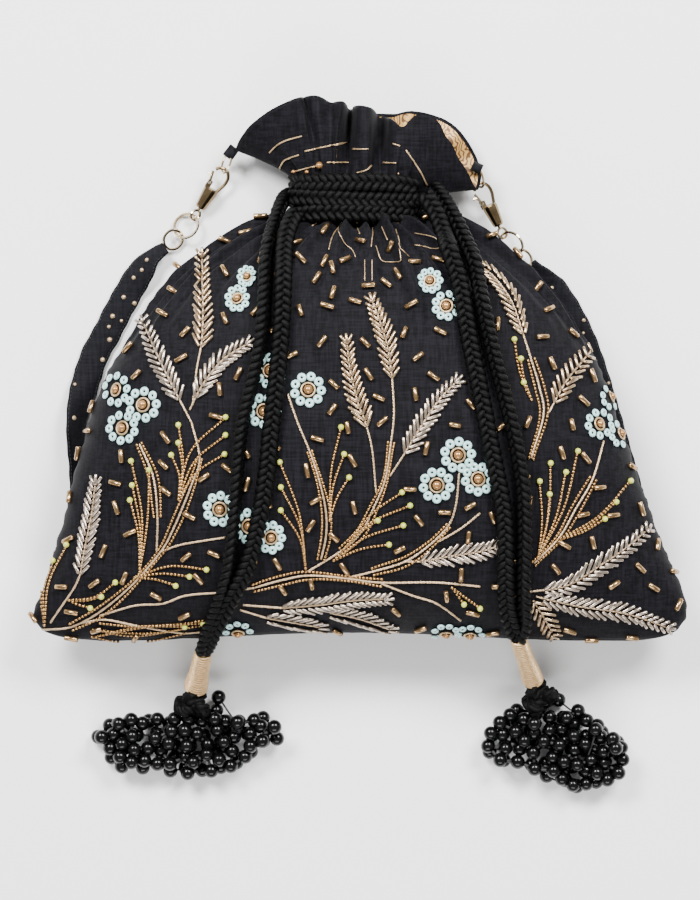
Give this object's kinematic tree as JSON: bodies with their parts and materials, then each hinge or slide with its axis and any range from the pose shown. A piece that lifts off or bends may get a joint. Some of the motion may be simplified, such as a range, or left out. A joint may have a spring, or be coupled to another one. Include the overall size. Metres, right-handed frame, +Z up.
{
  "type": "potli bag",
  "caption": "Soft drawstring pouch bag lying on its back, with a ruffled neck, braided drawcords ending in bead tassels, and a strap on swivel clasps.",
  "frame": {"origin": "middle of the bag as it lies, at the level of its back", "axes": "+Z up through the embroidered front, +Y towards the frill, +X to the right seen from the front"},
  "size_m": [0.2808, 0.3017, 0.0685],
  "materials": {
    "cloth": "matt raw silk, near-black navy",
    "brocade": "woven gold brocade with a low sheen",
    "braid": "plaited black cord, slight sheen",
    "gold_thread": "wound metallic thread",
    "bead": "polished black glass beads, opaque",
    "bronze_metal": "antique bronze plating",
    "pale_gold_metal": "pale antique gold plating"
  },
  "bodies": {
    "bag": {"bag_shell": "cloth", "bead_strand_left_1": "bead", "bead_strand_left_2": "bead", "bead_strand_left_3": "bead", "bead_strand_left_4": "bead", "bead_strand_left_5": "bead", "bead_strand_left_6": "bead", "bead_strand_left_7": "bead", "bead_strand_right_1": "bead", "bead_strand_right_2": "bead", "bead_strand_right_3": "bead", "bead_strand_right_4": "bead", "bead_strand_right_5": "bead", "bead_strand_right_6": "bead", "cord_knot_left": "braid", "cord_knot_right": "braid", "cord_left_inner": "braid", "cord_left_outer": "braid", "cord_right_inner": "braid", "cord_right_outer": "braid", "frill_tab_left": "cloth", "frill_tab_right": "cloth", "lining": "brocade", "neck_turns_left": "braid", "neck_turns_right": "braid", "strap": "cloth", "thread_wrap_left": "gold_thread", "thread_wrap_right": "gold_thread"},
    "link_left": {"wire_link_left": "pale_gold_metal"},
    "hook_left": {"clasp_hook_left": "bronze_metal", "gate_pin_left": "pale_gold_metal"},
    "gate_left": {"clasp_gate_left": "pale_gold_metal"},
    "eye_left": {"swivel_eye_left": "pale_gold_metal"},
    "ring_left": {"big_ring_left": "pale_gold_metal"},
    "end_ring_left": {"small_ring_left": "pale_gold_metal"},
    "link_right": {"wire_link_right": "pale_gold_metal"},
    "hook_right": {"clasp_hook_right": "bronze_metal", "gate_pin_right": "pale_gold_metal"},
    "gate_right": {"clasp_gate_right": "pale_gold_metal"},
    "eye_right": {"swivel_eye_right": "pale_gold_metal"},
    "ring_right": {"big_ring_right": "pale_gold_metal"},
    "end_ring_right": {"small_ring_right": "pale_gold_metal"}
  },
  "joints": [
    {"name": "link_left_swing", "type": "hinge", "parent": "bag", "child": "link_left", "pos_m": [-0.0564, 0.0936, 0.0096], "axis": [0.4614, -0.4886, 0.7405], "range_deg": [0, 6]},
    {"name": "hook_left_swing", "type": "hinge", "parent": "link_left", "child": "hook_left", "pos_m": [-0.05944, 0.08623, 0.00659], "axis": [0.4614, -0.4886, 0.7405], "range_deg": [-9, 1]},
    {"name": "gate_left_hinge", "type": "hinge", "parent": "hook_left", "child": "gate_left", "pos_m": [-0.06541, 0.08152, 0.0061], "axis": [0.1002, -0.2274, 0.9686], "range_deg": [-25, 0], "stiffness_Nm_per_rad": 0.002, "springref_deg": 5.73},
    {"name": "eye_left_swivel", "type": "hinge", "parent": "hook_left", "child": "eye_left", "pos_m": [-0.05944, 0.08623, 0.00659], "axis": [-0.5393, -0.8305, -0.1392], "range_deg": [-15, 15]},
    {"name": "ring_left_spin", "type": "hinge", "parent": "eye_left", "child": "ring_left", "pos_m": [-0.07575, 0.06272, 0.00335], "axis": [-0.3258, 0.2933, 0.8988], "continuous": true},
    {"name": "end_ring_left_spin", "type": "hinge", "parent": "bag", "child": "end_ring_left", "pos_m": [-0.08132, 0.05664, 0.0035], "axis": [0.3863, -0.3189, 0.8655], "continuous": true},
    {"name": "link_right_swing", "type": "hinge", "parent": "bag", "child": "link_right", "pos_m": [0.0506, 0.0872, 0.0134], "axis": [0.6636, -0.1607, 0.7306], "range_deg": [0, 6]},
    {"name": "hook_right_swing", "type": "hinge", "parent": "link_right", "child": "hook_right", "pos_m": [0.05212, 0.07948, 0.01011], "axis": [0.6636, -0.1607, 0.7306], "range_deg": [-9, 1]},
    {"name": "gate_right_hinge", "type": "hinge", "parent": "hook_right", "child": "gate_right", "pos_m": [0.0531, 0.07194, 0.00958], "axis": [0.284, -0.0304, 0.9583], "range_deg": [-25, 0], "stiffness_Nm_per_rad": 0.002, "springref_deg": 5.73},
    {"name": "eye_right_swivel", "type": "hinge", "parent": "hook_right", "child": "eye_right", "pos_m": [0.05212, 0.07948, 0.01011], "axis": [0.433, -0.8877, -0.1564], "range_deg": [-15, 15]},
    {"name": "ring_right_spin", "type": "hinge", "parent": "eye_right", "child": "ring_right", "pos_m": [0.06581, 0.05451, 0.00646], "axis": [-0.4924, -0.4132, 0.766], "continuous": true},
    {"name": "end_ring_right_spin", "type": "hinge", "parent": "bag", "child": "end_ring_right", "pos_m": [0.07087, 0.048, 0.00646], "axis": [0.4287, 0.3115, 0.848], "continuous": true}
  ],
  "couplings": [
    {"joint": "hook_left_swing", "follows": "link_left_swing", "ratio": -1.26},
    {"joint": "hook_right_swing", "follows": "link_right_swing", "ratio": -1.26}
  ]
}
